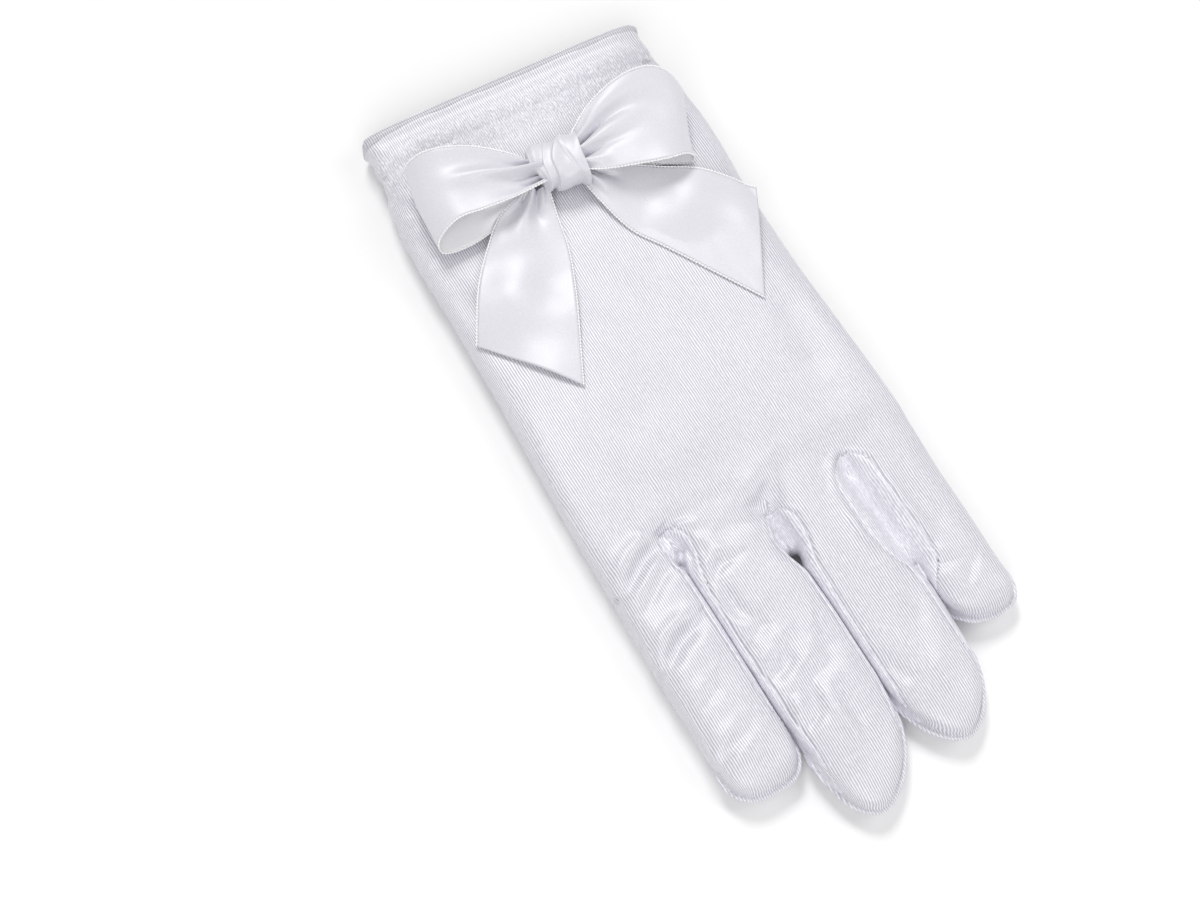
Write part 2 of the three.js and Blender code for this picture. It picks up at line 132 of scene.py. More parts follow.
# The cloth that bridges two fingers low between them, down to where they part.
BRIDGES = [
    Values(
        rows=[(-14, -28.0, -20.0), (-26, -28.0, -20.0), (-30, -27.5, -21.5)],
        tip=(-24.7, -32.6), tip_length=4.0, tip_power=2.2, high=8.4,
    ),
    Values(
        rows=[(-14, -4.0, 5.0), (-36, -3.5, 4.5), (-40, -3.0, 4.0)],
        tip=(0.3, -43.0), tip_length=6.0, tip_power=2.2, high=7.6,
    ),
    Values(
        rows=[(-14, 18.0, 28.0), (-34, 17.5, 27.5), (-45, 17.5, 28.5), (-54, 18.5, 28.5)],
        tip=(23.8, -61.0), tip_length=6.0, tip_power=2.2, high=8.2,
    ),
]

# How far in from each finger's side the seam of the strip between the fingers runs, at a few places.
SEAMS = {
    "index": {"right": [(-26, 2.0), (-60, 2.0), (-82, 1.2)]},
    "middle": {
        "left": [(-26, 4.5), (-34, 3.6), (-42, 2.4), (-60, 2.0), (-90, 1.5)],
        "right": [(-26, 2.0), (-60, 2.0), (-90, 1.5)],
    },
    "ring": {
        "left": [(-26, 3.0), (-36, 3.8), (-46, 3.2), (-58, 2.5), (-75, 2.0), (-90, 1.5)],
        "right": [(-26, 2.4), (-31, 4.0), (-37, 6.0), (-49, 6.6), (-56, 5.6), (-61, 3.0), (-85, 2.0)],
    },
    "little": {"left": [(-26, 3.5), (-31, 5.0), (-40, 5.0), (-58, 5.2), (-72, 2.6)]},
}
# How far up the hand the seams of each side start, at the arch where two fingers part.
SEAM_STARTS = {
    "index": {"right": -24.0},
    "middle": {"left": -24.0, "right": -32.0},
    "ring": {"left": -32.0, "right": -28.0},
    "little": {"left": -28.0},
}
SEAM_END_FROM_TIP = 6.0
SEAM_FADE = 12.0
SEAM_START_FADE = 5.0
SEAM_GROOVE = 0.22
SEAM_WELT = 0.2
TIP_SEAM_DEPTH = 0.5
STRIP_THICK = 0.4
# The stitched lip of a fingertip, and its height as a share of the finger's.
RIM = Values(wide=0.62, high=0.34, thread=0.05, swell=0.18, stitch=1.3, rings=160, sides=8)
RIM_MIDDLE = 0.42
HEM_SIDES = 360
FLOOR_REACH = 2500.0

# The folded thumb: where it starts, its turn in degrees, its size, and its middle and top height.
THUMB = Values(
    x=-24.5, y=48.0, turn=17.0, length=57.0,
    half_width=9.6, half_high=1.3, middle=1.45, top=2.78,
)
THUMB_SIDES = 48
THUMB_POWER = 2.6
# How far along the thumb its sections are, closer together at both ends.
THUMB_RINGS = [*np.linspace(0.3, 8, 12), *np.linspace(9, 42, 40), *np.linspace(42.8, 56.4, 22)]
# How far the folded thumb lifts the palm, how soon that fades, and the share of it that the back keeps.
THUMB_LIFT = 3.3
THUMB_MARGIN = 1.5
THUMB_FALL = 10.0
BACK_SHARE = 0.08
# The palm's lowest layer is pressed flat, a hair over the table.
PRESSED_FLAT = 0.25
ABOVE_TABLE = 0.05

RIBBON_THICK = 0.4
RIBBON_CLEAR = 0.45
RIBBON_STEPS = 140
RIBBON_SPANS = 44
# Soft waves of the ribbon, and the small ones where the knot gathers it.
WAVE = Values(high=0.85, scale=12.0, loop=0.75, tail=1.35, at_knot=0.25)
GATHER = Values(high=1.1, waves=3.5, reach=0.16)
# The tiny loops of the ribbon's edging: how far out and up they run, their size, and how far apart they are.
PICOT = Values(out=0.24, up=0.14, radius=0.22, swell=0.11, pitch=0.84, rings=4, sides=6)
KNOT = Values(
    x=1.4, y=72.6, z=17.2, turn=-14.0, power=2.7, rings=110, sides=150,
    half_length=7.0, half_width=7.2, half_height=4.9,
)

# Dents of the back: the width, how far it goes in, or out where negative, and its line in the plan.
# They run from the index finger's arch over each finger in turn to the hand.
DENTS = [
    (1.1, -1.2, [(-25.8, -37.5), (-25.6, -31), (-24.6, -26.5), (-21.2, -25), (-17.7, -26.6)]),
    (1.3, 2.2, [(-23.3, -28.5), (-23.4, -34.5)]),
    (1.6, -0.5, [(-19.6, -29), (-17.6, -32), (-15, -36.3)]),
    (1.6, 0.6, [(-36, -86.5), (-30.5, -84)]),
    (1.3, -0.6, [(-22.4, -42), (-22.8, -50), (-22.3, -57.6)]),
    (1.7, 0.9, [(-19.8, -43.5), (-20, -50), (-17, -57.5)]),
    (1.8, 0.9, [(-14.8, -73.3), (-17.4, -81.8), (-22.4, -84.4)]),
    (1.5, -0.8, [(-20.2, -76), (-20.6, -81)]),
    (1.5, -0.7, [(-13.2, -79.3), (-12.6, -91.7), (-14.5, -101.5)]),
    (1.8, 0.6, [(-9, -74), (-9.8, -92)]),
    (1.5, 1.6, [(-0.9, -35.6), (-0.2, -41)]),
    (1, -0.8, [(-3, -38), (-1.6, -33.4), (1.1, -32.6), (3.4, -35.9), (3.4, -42.2)]),
    (1.9, 0.8, [(3.2, -78.2), (6.2, -86.5)]),
    (2.8, 0.4, [(8, -52), (12.5, -80)]),
    (1.7, -0.5, [(14.6, -82), (12.6, -94)]),
    (2, 0.6, [(18.6, -66), (15.4, -76)]),
    (2, 1.3, [(20.7, -32.3), (22.4, -45.5), (21.6, -57.6)]),
    (1.6, 1.4, [(21.4, -30.6), (22, -35)]),
    (1.1, -0.8, [(17, -36.8), (18.2, -30.5), (21.4, -27.4), (24.6, -28.4), (26.6, -34)]),
    (0.9, -0.5, [(16.4, -40), (15.2, -49), (17.4, -57)]),
    (1.5, -0.5, [(27.6, -36), (28.6, -47), (29.6, -57)]),
    (2.4, 0.5, [(32, -40), (34.5, -60)]),
    (1.5, 0.7, [(36, -66), (30, -72.5)]),
    (3.5, 0.6, [(-36, 60), (-33, 30)]),
    (4.5, 0.6, [(33, 20), (30, -12)]),
    (6, 0.15, [(-4, 8), (-24, 0)]),
    (1.6, 0.8, [(-39.5, 92), (-35.5, 84)]),
    (1.8, 0.6, [(-39, 78), (-36.5, 70)]),
]
# Stepped folds, in the same form. The cloth stands out on the left of the line and goes in on the right.
STEPS = [
    (2.7, 1.6, [(-41.5, -32.5), (-34.5, -27.5), (-27.5, -24.4)]),
    (2.4, 0.9, [(-39.2, -38.4), (-33.4, -33.9), (-27.8, -30.6)]),
    (1.9, 0.9, [(-21.8, -40), (-17.6, -37), (-13.6, -37.6)]),
    (2.7, 1.7, [(-43, -53.9), (-37.2, -49.3), (-29.2, -46.5)]),
    (2.2, 0.5, [(-38.7, -65.8), (-34.1, -62.7)]),
    (2.2, 0.8, [(-44.4, -80.8), (-40, -77.9), (-33, -75)]),
    (2.6, 0.45, [(-22, -57.5), (-15.6, -53.8)]),
    (3, 0.95, [(-23, -67), (-19, -66.2), (-15.6, -63.6)]),
    (3, 0.7, [(-16.1, -72.8), (-9.8, -70.4), (-6.8, -64.3)]),
    (3.2, 0.9, [(-8.9, -29.6), (-1, -27.6), (4.1, -24)]),
    (2, 0.6, [(26, -62), (31, -64)]),
]
STEP_OUT = 1.3
STEP_IN = 2.4

# Slight unevenness of the cloth: height, scale, stretch along y, shift, strength on hand and fingers.
UNEVEN = [(0.20, 9.0, 0.5, 0.0, 0.3, 0.9), (0.08, 4.0, 0.4, 7.0, 0.5, 1.0)]
# Wider unevenness of the back, with a stretch along x.
WIDE_UNEVEN = Values(high=0.10, scale=26.0, x=0.5, shift=3.0)
# The hem's stitching goes round this far below the cuff's edge, in a groove, with puckers on both sides.
STITCH = Values(below=11.8, groove=0.28, groove_wide=0.8, pucker=0.24, pucker_wide=2.8)
# The doubled cloth of the hem stands out, with a hollow and a rounded edge.
HEM_SWELL = Values(below=11.0, over=4.0, out=0.22, uneven=0.12)
HEM_HOLLOW = Values(below=4.2, wide=2.2, depth=0.45)
HEM_EDGE = Values(below=2.2, over=1.6, depth=0.6)
# The border on the index finger's side is crinkled towards the cuff.
BORDER = Values(inside=5.0, wide=3.0, from_y=48, over=25, high=0.4, scale=2.6)

LATTICE_SIZE = 64
LATTICE = np.random.RandomState(11).rand(LATTICE_SIZE, LATTICE_SIZE)


def smooth(t):
    s = np.clip(t, 0.0, 1.0)
    return s * s * (3.0 - 2.0 * s)


def bell(distance, width):
    return np.exp(-((distance / width) ** 2))


def noise(x, y, scale, shift=0.0):
    """Smooth noise from -1 to 1 that changes over about scale."""
    u, v = x / scale + shift, y / scale + shift * 1.7
    i, j = np.floor(u).astype(int), np.floor(v).astype(int)
    fu, fv = smooth(u - i), smooth(v - j)
    at = lambda a, b: LATTICE[(i + a) % LATTICE_SIZE, (j + b) % LATTICE_SIZE]
    low = at(0, 0) * (1 - fu) + at(1, 0) * fu
    high = at(0, 1) * (1 - fu) + at(1, 1) * fu
    return 2.0 * (low * (1 - fv) + high * fv) - 1.0


def distance_to_line(x, y, line):
    """The distance to a line, above 0 on its left, and where along it the nearest place is, 0 to 1."""
    best, share = np.full(x.shape, 1e9), np.zeros(x.shape)
    for i, ((ax, ay), (bx, by)) in enumerate(zip(line, line[1:])):
        dx, dy = bx - ax, by - ay
        t = np.clip(((x - ax) * dx + (y - ay) * dy) / (dx * dx + dy * dy), 0, 1)
        d = np.hypot(x - ax - t * dx, y - ay - t * dy)
        d = np.where(dx * (y - ay) - dy * (x - ax) < 0, -d, d)
        nearer = np.abs(d) < np.abs(best)
        best = np.where(nearer, d, best)
        share = np.where(nearer, (i + t) / (len(line) - 1), share)
    return best, share


def new_piece(name, points, faces, material):
    mesh = bpy.data.meshes.new(name)
    mesh.from_pydata([tuple(p) for p in np.asarray(points) * MM], [], [tuple(f) for f in faces])
    mesh.validate()
    mesh.update()
    mesh.shade_smooth()
    piece = bpy.data.objects.new(name, mesh)
    scene.collection.objects.link(piece)
    if material:
        mesh.materials.append(material)
    return piece


def take_place(piece, node):
    """The piece stands for a CAD node, whose part it hides, and hangs from the root."""
    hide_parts(node)
    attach(piece, "root")


def angles(steps):
    return np.linspace(0, 2 * pi, steps, endpoint=False)


def superellipse(steps, power):
    """Steps points round a rounded section, as shares of its half width and half height."""
    angle = angles(steps)
    c, s = np.cos(angle), np.sin(angle)
    return np.sign(c) * np.abs(c) ** (2 / power), np.sign(s) * np.abs(s) ** (2 / power)


def band_faces(rings, sides, first=0, around=True, closed=False):
    """Faces between rings of points. Around joins a ring's ends, closed joins the last ring to the first."""
    faces = []
    for i in range(rings if closed else rings - 1):
        a, b = first + i * sides, first + (i + 1) % rings * sides
        for j in range(sides if around else sides - 1):
            k = (j + 1) % sides
            faces.append((a + j, a + k, b + k, b + j))
    return faces


def ring(x, y, z):
    return np.stack(np.broadcast_arrays(x, y, z), 1)


def loft_faces(rings, sides, first=0):
    """Faces between rings of points, closed at both ends."""
    last = first + (rings - 1) * sides
    ends = [tuple(first + j for j in reversed(range(sides))), tuple(last + j for j in range(sides))]
    return band_faces(rings, sides, first) + ends


def lofted(rings):
    """The points and faces of a closed piece through rings of points."""
    return np.concatenate(rings), loft_faces(len(rings), len(rings[0]))


def sides_at(rows, y):
    """The left and right side at y, from rows of y, left and right."""
    ys, left, right = zip(*sorted(rows))
    return np.interp(y, ys, left), np.interp(y, ys, right)


def hand_sides(y):
    return sides_at(HAND_ROWS, y)


def finger_sides(finger, y):
    return sides_at(finger.rows, y)


def hand_power(y):
    """The hand's sections are squarer towards the cuff, which lies pressed down, and towards the fingers."""
    cuff = AT_CUFF.squarer * float(smooth((y - AT_CUFF.from_y) / AT_CUFF.over))
    fingers = AT_FINGERS.squarer * float(smooth((AT_FINGERS.from_y - y) / AT_FINGERS.over))
    return HAND_POWER + cuff + fingers


def hand_loft():
    points = []
    for y in np.linspace(HAND_ROWS[0][0], WEB_Y, HAND_RINGS):
        across, up = superellipse(HAND_SIDES, hand_power(y))
        left, right = hand_sides(y)
        x = (left + right) / 2 + across * (right - left) / 2
        points.append(ring(x, y, HAND_HIGH / 2 * (1 + up)))
    reach = WEB.reach + WEB.middle * bell(x - WEB.at_x, WEB.wide)
    reach = reach + WEB.little * smooth((x - 10) / 10)
    for share in np.linspace(0.15, 1, WEB.rings):
        shrink = WEB.end_high + (1 - WEB.end_high) * sqrt(max(0, 1 - share * share))
        points.append(ring(x, WEB_Y - reach * share, HAND_HIGH / 2 * (1 + up * shrink)))
    return lofted(points)


def side_partings(name):
    """The partings on a finger's left and right side, None on an outer side."""
    return [next((row for pair, row in PARTINGS.items() if pair[end] == name), None) for end in (1, 0)]


def joining_gap(parting, y):
    return GAP_WHILE_JOINING * smooth((parting.opens - y) / GAP_FADE) if parting else 0.0


def finger_loft(finger, partings=(None, None)):
    across, up = superellipse(FINGER_SIDES, FINGER_POWER)
    tip_x, tip_y = finger.tip
    power = finger.tip_power
    start = tip_y + finger.tip_length
    stations = [(y, 0.0) for y in np.linspace(FINGER_START_Y, start, FINGER_RINGS)]
    tip_shares = np.sin(np.linspace(0.08, 1.0, TIP_RINGS) * pi / 2)
    stations += [(start - finger.tip_length * share, share) for share in tip_shares]
    points = []
    for y, share in stations:
        left, right = finger_sides(finger, y)
        wide = max(0.1, (1 - share**power) ** (1 / power))
        high = TIP_END_HIGH + (1 - TIP_END_HIGH) * max(0.0, 1 - share**2.2) ** 0.7
        gap = np.where(across < 0, joining_gap(partings[0], y), joining_gap(partings[1], y))
        middle = (left + right) / 2
        middle += (tip_x - middle) * share * share
        half = ((right - left) / 2 - gap) * wide
        # The end inside the hand is narrower, to stay within it.
        half = half - (1.5 if y > FINGER_START_Y - 1 else 0)
        z = finger.high * (TIP_MIDDLE + (0.5 - TIP_MIDDLE) * (1 - share)) * (1 - high)
        z = z + finger.high / 2 * (1 + up) * high
        points.append(ring(middle + across * half, y, z))
    return lofted(points)


def joined_skin(size):
    """The hand and its fingers as one closed skin of even small faces, cut open at the cuff."""
    points, faces = hand_loft()
    lofts = [finger_loft(finger, side_partings(name)) for name, finger in FINGERS.items()]
    for more, more_faces in lofts + [finger_loft(bridge) for bridge in BRIDGES]:
        faces = faces + [tuple(i + len(points) for i in face) for face in more_faces]
        points = np.concatenate([points, more])
    piece = new_piece("joining", points, faces, None)
    remesh = piece.modifiers.new("remesh", "REMESH")
    remesh.mode = "VOXEL"
    remesh.voxel_size = size * MM
    evaluated = piece.evaluated_get(bpy.context.evaluated_depsgraph_get())
    mesh = bpy.data.meshes.new_from_object(evaluated)
    bpy.data.objects.remove(piece)
    work = bmesh.new()
    work.from_mesh(mesh)
    bpy.data.meshes.remove(mesh)
    everything = work.verts[:] + work.edges[:] + work.faces[:]
    cut = {"plane_co": (0, CUFF_Y * MM, 0), "plane_no": (CUFF_SLANT, 1, 0), "clear_outer": True}
    bmesh.ops.bisect_plane(work, geom=everything, dist=0.00005, **cut)
    work.verts.index_update()
    points = np.array([v.co[:] for v in work.verts]) / MM
    faces = [[v.index for v in face.verts] for face in work.faces]
    work.free()
    return points, faces


def edges_of(faces):
    pairs = {(min(a, b), max(a, b)) for face in faces for a, b in zip(face, face[1:] + face[:1])}
    return np.array(sorted(pairs))


def relaxed(points, edges, rounds, fixed):
    """The points moved half way to the middle of their neighbours, again and again."""
    count = np.zeros(len(points))
    np.add.at(count, edges.ravel(), 1)
    for _ in range(rounds):
        total = np.zeros_like(points)
        np.add.at(total, edges[:, 0], points[edges[:, 1]])
        np.add.at(total, edges[:, 1], points[edges[:, 0]])
        points = np.where(fixed[:, None], points, points + (total / count[:, None] - points) * 0.5)
    return points


def normals_of(points, faces):
    corners = np.array([face if len(face) == 4 else face[:3] + face[2:3] for face in faces if len(face) < 5])
    a, b = points[corners[:, 2]] - points[corners[:, 0]], points[corners[:, 3]] - points[corners[:, 1]]
    flat = np.cross(a, b)
    normals = np.zeros_like(points)
    for k in range(4):
        np.add.at(normals, corners[:, k], flat)
    return normals / np.maximum(np.linalg.norm(normals, axis=1), 1e-9)[:, None]


def nearest_finger(points):
    """For each point the finger whose middle is nearest, with that finger's middle and half width there."""
    sides = [finger_sides(finger, points[:, 1]) for finger in FINGERS.values()]
    left, right = np.array(sides).swapaxes(0, 1)
    middle, half = (left + right) / 2, (right - left) / 2
    which = np.argmin(np.abs(points[:, 0] - middle) / half, axis=0)
    each = np.arange(len(points))
    return which, middle[which, each], half[which, each]


def widened_fingers(points, near):
    """Gives the fingers back the width that kept them apart while they were joined."""
    which, middle, half = near
    x, y = points[:, 0], points[:, 1]
    out = points.copy()
    for i, name in enumerate(FINGERS):
        for parting, sign in zip(side_partings(name), (-1, 1)):
            if parting is None:
                continue
            here = (which == i) & ((x - middle) * sign > 0)
            closed = smooth((parting.y - y) / parting.closing)
            factor = 1 + closed * (half / (half - GAP_WHILE_JOINING) - 1)
            out[:, 0] = np.where(here, middle + (x - middle) * factor, out[:, 0])
    return pressed_together(out, which)


def pressed_together(points, which):
    """Fingers that press against each other are flat there, a hair apart."""
    out = points.copy()
    y = points[:, 1]
    for i, ((left, right), parting) in enumerate(PARTINGS.items()):
        line = (finger_sides(FINGERS[left], y)[1] + finger_sides(FINGERS[right], y)[0]) / 2
        below = y < parting.y
        out[:, 0] = np.where(below & (which == i), np.minimum(out[:, 0], line - HAIR), out[:, 0])
        out[:, 0] = np.where(below & (which == i + 1), np.maximum(out[:, 0], line + HAIR), out[:, 0])
    return out


def turned(place, along, side):
    """The x and y of a point that lies along and to the side of a turned piece's start."""
    turn = radians(place.turn)
    x = place.x + along * cos(turn) - side * sin(turn)
    return x, place.y + along * sin(turn) + side * cos(turn)


def thumb_lift(x, y):
    """How far the folded thumb lifts the cloth over it."""
    turn, half = radians(THUMB.turn), THUMB.half_width
    dx, dy = x - THUMB.x, y - THUMB.y
    t = np.clip(dx * sin(turn) - dy * cos(turn), half, THUMB.length - half)
    away = np.hypot(dx - t * sin(turn), dy + t * cos(turn)) - half - THUMB_MARGIN
    return THUMB_LIFT * (1 - smooth(away / THUMB_FALL))


def folded(points, normals):
    """Folds, dents and slight unevenness of the cloth."""
    x, y, z = points.T
    top = smooth((z - 4.5) / 4.0)
    move = np.zeros(len(points))
    for rows, stepped in ((DENTS, False), (STEPS, True)):
        for width, depth, line in rows:
            d, share = distance_to_line(x, y, line)
            ends = 0.35 + 0.65 * smooth(share / 0.3) * smooth((1 - share) / 0.3)
            form = d / width * np.where(d > 0, STEP_OUT, STEP_IN) if stepped else -1.0
            move += depth * ends * form * bell(d, width) * top
    fingers = smooth((-24 - y) / 10)
    for high, scale, stretch, shift, on_hand, on_fingers in UNEVEN:
        move += high * noise(x, y * stretch, scale, shift) * (on_hand + on_fingers * fingers)
    wide = WIDE_UNEVEN
    move += wide.high * noise(x * wide.x, y, wide.scale, wide.shift) * top
    move += hem_relief(x, y)
    border = smooth((hand_sides(y)[0] + BORDER.inside - x) / BORDER.wide)
    border = border * smooth((y - BORDER.from_y) / BORDER.over)
    move += BORDER.high * border * noise(y + z * 0.4, z * 0.3, BORDER.scale, 31.0)
    for x_side in PARTED_AT:
        # The walls that press against each other stay smooth.
        beside = smooth((3.2 - np.abs(x - x_side)) / 1.6) * smooth((-20 - y) / 8)
        move *= 1 - beside * smooth((0.8 - np.abs(normals[:, 2])) / 0.3)
    return points + normals * move[:, None]


def hem_relief(x, y):
    """The stitching round the cuff with its puckers, and the doubled cloth between it and the edge."""
    below = cuff_at(x) - y
    crinkle = noise(x, y * 0.22, 0.9, 21.0) + 0.7 * noise(x, y * 0.35, 1.9, 5.0)
    puckered = bell(below - STITCH.below, STITCH.pucker_wide)
    groove = bell(below - STITCH.below, STITCH.groove_wide)
    out = STITCH.pucker * puckered * crinkle - STITCH.groove * groove * (0.6 + 0.5 * crinkle)
    swell = HEM_SWELL.out + HEM_SWELL.uneven * noise(x, y, 7.0, 2.0)
    out += smooth((HEM_SWELL.below - below) / HEM_SWELL.over) * swell
    out -= HEM_HOLLOW.depth * bell(below - HEM_HOLLOW.below, HEM_HOLLOW.wide)
    out -= HEM_EDGE.depth * smooth((HEM_EDGE.below - below) / HEM_EDGE.over)
    return out


def settled(points):
    """The palm lies on the table, and over the folded thumb."""
    out = points.copy()
    x, y, z = points.T
    lift = thumb_lift(x, y)
    flat = np.maximum(z - PRESSED_FLAT, 0.0) * (1 + PRESSED_FLAT / HAND_HIGH)
    out[:, 2] = np.maximum(flat, lift) + lift * BACK_SHARE * np.clip(z / HAND_HIGH, 0, 1) + ABOVE_TABLE
    return out


def turn_round(across, up):
    """How far round a finger's section a point is: 0 at its side, a quarter turn at its top or bottom."""
    power = FINGER_POWER / 2
    return np.arctan2(np.minimum(1, np.abs(up)) ** power, np.minimum(1, np.abs(across)) ** power)


def seam_turn(name, side, y):
    """How far round the section the seam is: nearly at the side close to the tip, high up near the hand."""
    rows = sorted(SEAMS[name].get(side, []))
    if not rows:
        return np.full(y.shape, -0.4)
    finger = FINGERS[name]
    left, right = finger_sides(finger, y)
    inset = np.interp(y, [row[0] for row in rows], [row[1] for row in rows])
    inset = inset * np.sqrt(np.clip((SEAM_STARTS[name][side] - y) / SEAM_START_FADE, 0.0, 1.0))
    across = 1 - inset / ((right - left) / 2)
    up = (1 - across**FINGER_POWER) ** (1 / FINGER_POWER)
    return turn_round(across, up) * smooth((y - finger.tip[1] - SEAM_END_FROM_TIP) / SEAM_FADE)


def strip_field(points, near):
    """Above 0 on the strips between the fingers, below 0 on the hand's own cloth, and 0 along the seam."""
    which, middle, half = near
    x, y, z = points.T
    across = (x - middle) / half
    field = np.full(len(points), -3.0)
    for i, (name, finger) in enumerate(FINGERS.items()):
        round_it = turn_round(across, (z - finger.high / 2) / (finger.high / 2))
        for side, sign in (("left", -1), ("right", 1)):
            here = (which == i) & (across * sign > 0)
            start = SEAM_STARTS[name].get(side, 0.0)
            along = np.minimum((seam_turn(name, side, y) - round_it) * 8.0, start - y)
            field = np.where(here, along, field)
    return field


def rib_place(points, near=None):
    """Where each point is across the ribs of the cloth, counted over the back and on down the sides."""
    x, y, z = points.T
    left, right = hand_sides(y)
    over = side_share((x - (left + right) / 2) / ((right - left) / 2), 0.75)
    if near is not None:
        _, middle, half = near
        on_finger = smooth((-22 - y) / 8)
        over = over * (1 - on_finger) + side_share((x - middle) / half, 0.5) * on_finger
    return x + over * np.maximum(0.0, HAND_HIGH - 2.5 - z)


def side_share(across, start):
    return np.sign(across) * smooth((np.abs(across) - start) / (0.95 - start))


def tip_seam(points, which):
    """The rim that closes each fingertip: below 0 on the rim itself, up to 1 in the groove over it."""
    out = np.zeros(len(points))
    for i, finger in enumerate(FINGERS.values()):
        from_tip = points[:, 1] - finger.tip[1]
        over = points[:, 2] - finger.high * TIP_MIDDLE
        near = bell(over - 1.3, 0.7) - 0.8 * bell(over, 0.6)
        out = np.where(which == i, near * smooth((finger.tip_length + 2 - from_tip) / 6.0), out)
    return out


def snapped(points, edges, field):
    """Moves the points next to the seam onto it, so that it runs clean."""
    points, field = points.copy(), field.copy()
    a, b = edges[:, 0], edges[:, 1]
    crossing = field[a] * field[b] < 0
    a, b = a[crossing], b[crossing]
    t = field[a] / (field[a] - field[b])
    at = points[a] + (points[b] - points[a]) * t[:, None]
    mover = np.where(t < 0.5, a, b)
    close = np.where(t < 0.5, t, 1 - t) < 0.5
    total, count = np.zeros_like(points), np.zeros(len(points))
    np.add.at(total, mover[close], at[close])
    np.add.at(count, mover[close], 1)
    moved = count > 0
    points[moved] = total[moved] / count[moved][:, None]
    field[moved] = 0.0
    return points, field


def cuff_at(x):
    return CUFF_Y - CUFF_SLANT * x


def shaped(points, faces, rounds):
    """The skin smoothed, folded and laid down, with where its seams run and the place across its ribs."""
    edges = edges_of(faces)
    rim = points[:, 1] > cuff_at(points[:, 0]) - 0.01
    points = relaxed(points, edges, rounds, rim)
    near = nearest_finger(points)
    points = widened_fingers(points, near)
    points, field = snapped(points, edges, strip_field(points, near))
    normals = normals_of(points, faces)
    welt = SEAM_WELT * bell(np.abs(field) - 0.9, 0.5) - SEAM_GROOVE * bell(field, 0.4)
    tip = tip_seam(points, near[0])
    points = folded(points, normals) + normals * (welt * (field > -2.5) - TIP_SEAM_DEPTH * tip)[:, None]
    points = pressed_together(points, near[0])
    return settled(points), field, rib_place(points, near)


# Noise of the cloth: how fine it is along x, y and z, in waves a metre, and its detail.
WANDER = ((70, 45, 70), 2.0)
RIPPLE = ((420, 200, 420), 1.0)
THREADS = ((2800, 700, 2800), 2.0)
PATCHES = ((160, 120, 160), 1.0)
CREASES = ((1050, 520, 1050), 3.0)
RIBBON_THREADS = ((3000, 3000, 3000), 2.0)
RIBBON_SOFT = ((300, 300, 300), 2.0)
FLOOR_MOTTLE = ((6, 6, 6), 2.0)

# Colours from the dim grooves between the ribs to the bright threads: painted shade in the grooves and
# painted glints on the threads.
SATIN_PAINTED_TONES = [(0.22, (0.50, 0.486, 0.56)), (0.50, (0.665, 0.654, 0.71)), (0.80, (0.875, 0.868, 0.905))]
# The creases start this far below the cuff's edge, and fade out between the two distances from there.
CREASED_AT = 12.0
CREASED_REACH = (9.0, 2.0)


class Finish:
    """A new material, with short ways to add nodes to it."""

    def __init__(self, name, specular=0.5, sheen=0.0, sheen_rough=0.5):
        self.material = bpy.data.materials.new(name)
        self.material.use_nodes = True
        self.nodes = self.material.node_tree.nodes
        self.look = self.nodes["Principled BSDF"].inputs
        self.look["Specular IOR Level"].default_value = specular
        self.look["Sheen Weight"].default_value = sheen
        self.look["Sheen Roughness"].default_value = sheen_rough

    def node(self, kind, values):
        """A node whose inputs are the given numbers or other nodes' outputs."""
        node = self.nodes.new(kind)
        for key, value in values.items():
            self.feed(node.inputs[key], value)
        return node

    def feed(self, socket, value):
        if isinstance(value, bpy.types.NodeSocket):
            self.material.node_tree.links.new(value, socket)
        else:
            socket.default_value = value

    def maths(self, operation, *values):
        node = self.node("ShaderNodeMath", dict(enumerate(values)))
        node.operation = operation
        return node.outputs[0]

    def add(self, value, times, base):
        """The base plus the value that many times."""
        return self.maths("MULTIPLY_ADD", value, times, base)

    def place(self, scale):
        where = self.nodes.new("ShaderNodeTexCoord").outputs["Object"]
        return self.node("ShaderNodeMapping", {"Vector": where, "Scale": scale}).outputs[0]

    def noise(self, scale, detail):
        values = {"Vector": self.place(scale), "Scale": 1.0, "Detail": detail}
        return self.node("ShaderNodeTexNoise", values).outputs["Fac"]

    def between(self, value, of=(0.0, 1.0), to=(0.0, 1.0), way="LINEAR"):
        """The value moved from one range to another."""
        ends = zip(("From Min", "From Max", "To Min", "To Max"), (*of, *to))
        node = self.node("ShaderNodeMapRange", {"Value": value, **dict(ends)})
        node.interpolation_type = way
        return node.outputs[0]

    def colours(self, value, stops):
        node = self.node("ShaderNodeValToRGB", {"Fac": value})
        while len(node.color_ramp.elements) < len(stops):
            node.color_ramp.elements.new(0.5)
        for element, (place, colour) in zip(node.color_ramp.elements, stops):
            element.position = place
            element.color = (*colour, 1)
        self.feed(self.look["Base Color"], node.outputs["Color"])

    def relief(self, height, strength, distance):
        values = {"Height": height, "Strength": strength, "Distance": distance * MM}
        self.feed(self.look["Normal"], self.node("ShaderNodeBump", values).outputs[0])


def puckers(finish):
    """Small creases of the cloth along the cuff's stitching, and where they are, used for their relief and
    for painted shade and painted highlights.
    """
    creases = finish.maths("ABSOLUTE", finish.add(finish.noise(*CREASES), 4.0, -2.0))
    split = finish.node("ShaderNodeSeparateXYZ", {0: finish.place((1000, 1000, 1000))})
    from_line = finish.add(split.outputs["X"], CUFF_SLANT, split.outputs["Y"])
    from_line = finish.maths("ABSOLUTE", finish.maths("SUBTRACT", from_line, CUFF_Y - CREASED_AT))
    near = finish.between(from_line, of=CREASED_REACH, way="SMOOTHSTEP")
    return finish.maths("MULTIPLY", creases, near), near


